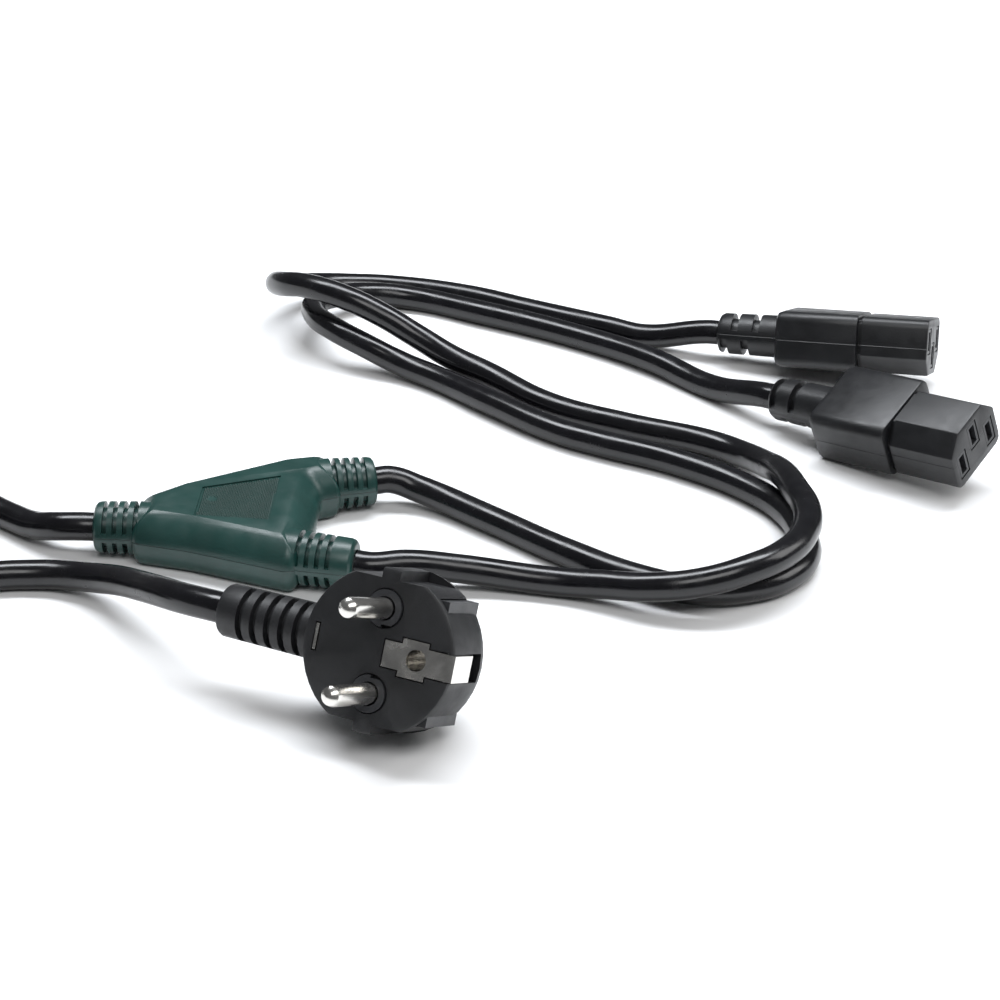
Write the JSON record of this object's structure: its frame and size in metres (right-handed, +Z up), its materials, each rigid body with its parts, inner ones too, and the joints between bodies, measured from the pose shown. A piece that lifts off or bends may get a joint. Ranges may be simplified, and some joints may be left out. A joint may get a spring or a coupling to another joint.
{
  "type": "power cord splitter",
  "caption": "Earthed angled mains plug and round trunk cord, split by a moulded Y block into two branch cords that end in appliance connectors.",
  "frame": {"origin": "on the table under the middle of the Y block", "axes": "+Z up, +X from the trunk cord towards the two branches, -Y towards the viewer of the picture"},
  "size_m": [0.3731, 0.2857, 0.0422],
  "materials": {
    "green_overmould": "satin moulded PVC",
    "overmould": "fine matte grain",
    "cord": "glossy PVC jacket",
    "carrier": "satin",
    "nickel": "nickel plated",
    "brass": "plain brass"
  },
  "bodies": {
    "root": {"y_housing": "green_overmould", "y_core": "carrier", "y_splice_line": "brass", "y_splice_neutral": "brass", "y_splice_earth": "brass", "plug_housing": "overmould", "plug_insert": "carrier", "plug_pin_line": "nickel", "plug_pin_neutral": "nickel", "plug_crimp_line": "brass", "plug_crimp_neutral": "brass", "plug_earth_clip": "nickel", "plug_earth_socket": "nickel", "connector_a_housing": "overmould", "connector_a_insert": "carrier", "connector_a_contact_line": "brass", "connector_a_contact_neutral": "brass", "connector_a_contact_earth": "nickel", "connector_b_housing": "overmould", "connector_b_insert": "carrier", "connector_b_contact_line": "brass", "connector_b_contact_neutral": "brass", "connector_b_contact_earth": "nickel", "branch_a_cord": "cord", "branch_b_cord": "cord", "trunk_cord_block_end": "cord", "trunk_cord_plug_end": "cord", "trunk_coil": "cord"}
  },
  "joints": []
}
